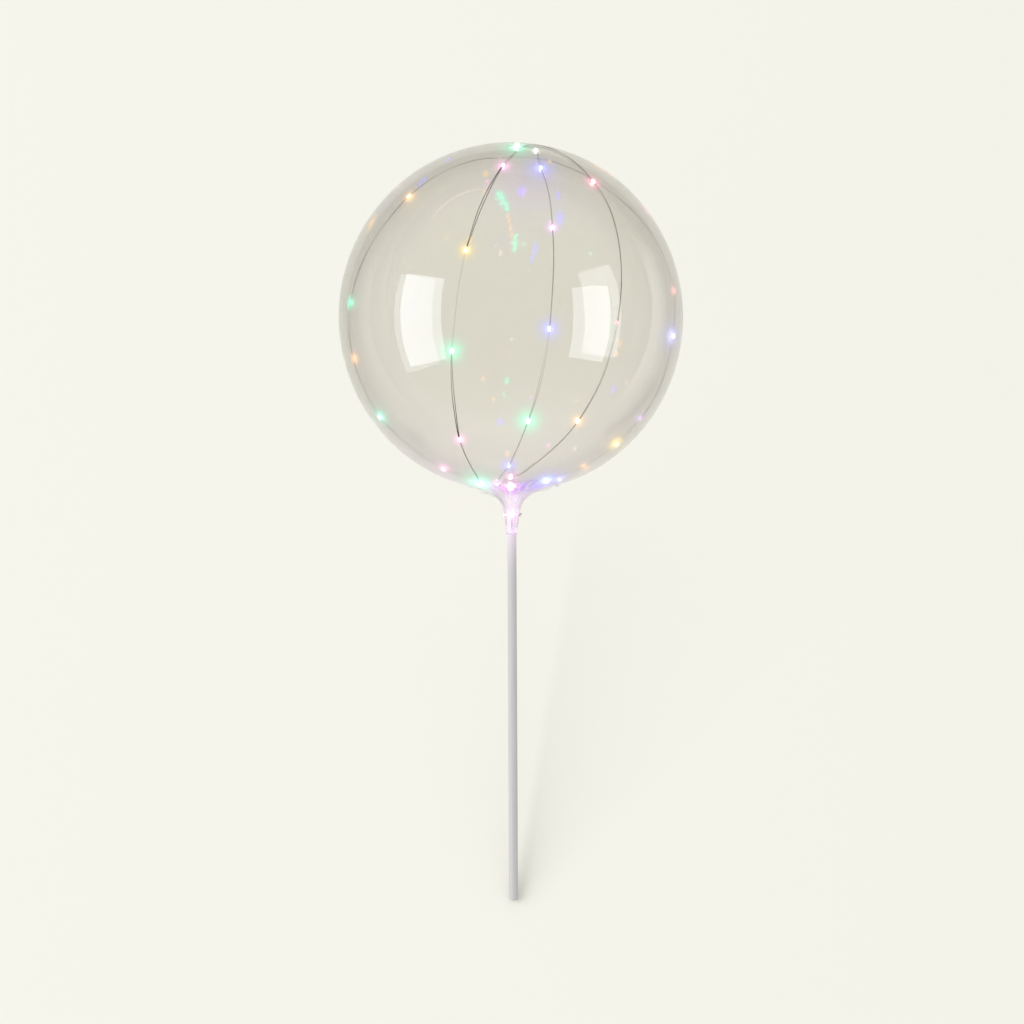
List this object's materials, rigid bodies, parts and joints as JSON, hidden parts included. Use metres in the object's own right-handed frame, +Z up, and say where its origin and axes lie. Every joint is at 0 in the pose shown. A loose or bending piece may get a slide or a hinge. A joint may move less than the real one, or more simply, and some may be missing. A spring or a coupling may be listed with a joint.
{
  "type": "bubble balloon",
  "caption": "Clear bubble balloon on a plain stick, wound pole to pole with a thin string of small coloured lights.",
  "frame": {"origin": "on the ground under the middle of the whole, which lies loose on the ball's flat spot and the stick's far end", "axes": "+Y from the stick's far end to the crown of the ball, +Z up, +X to the right of the lit front, which looks up"},
  "size_m": [0.3336, 0.7146, 0.3327],
  "materials": {
    "film": "clear stretchy film, glossy on both sides, see-through, with a faint warm grey tint",
    "stick": "pale grey plastic, semi-gloss",
    "tie": "thin grey elastic cord",
    "wire": "thin dark lacquered wire",
    "light_green": "clear resin drop round a lit green light",
    "light_pink": "clear resin drop round a lit pink light",
    "light_blue": "clear resin drop round a lit blue light",
    "light_violet": "clear resin drop round a lit violet light",
    "light_yellow": "clear resin drop round a lit yellow light",
    "light_orange": "clear resin drop round a lit orange light",
    "light_red": "clear resin drop round a lit red light",
    "light_white": "clear resin drop round a lit white light"
  },
  "bodies": {
    "root": {"balloon": "film", "stick": "stick", "neck_tie": "tie", "light_wire": "wire", "led_01": "light_pink", "led_02": "light_pink", "led_03": "light_green", "led_04": "light_orange", "led_05": "light_green", "led_06": "light_orange", "led_07": "light_orange", "led_08": "light_yellow", "led_09": "light_red", "led_10": "light_blue", "led_11": "light_violet", "led_12": "light_yellow", "led_13": "light_orange", "led_14": "light_blue", "led_15": "light_pink", "led_16": "light_orange", "led_17": "light_red", "led_18": "light_red", "led_19": "light_pink", "led_20": "light_yellow", "led_21": "light_green", "led_22": "light_pink", "led_23": "light_green", "led_24": "light_blue", "led_25": "light_pink", "led_26": "light_pink", "led_27": "light_blue", "led_28": "light_green", "led_29": "light_blue", "led_30": "light_violet", "led_31": "light_blue", "led_32": "light_white", "led_33": "light_green"}
  },
  "joints": []
}
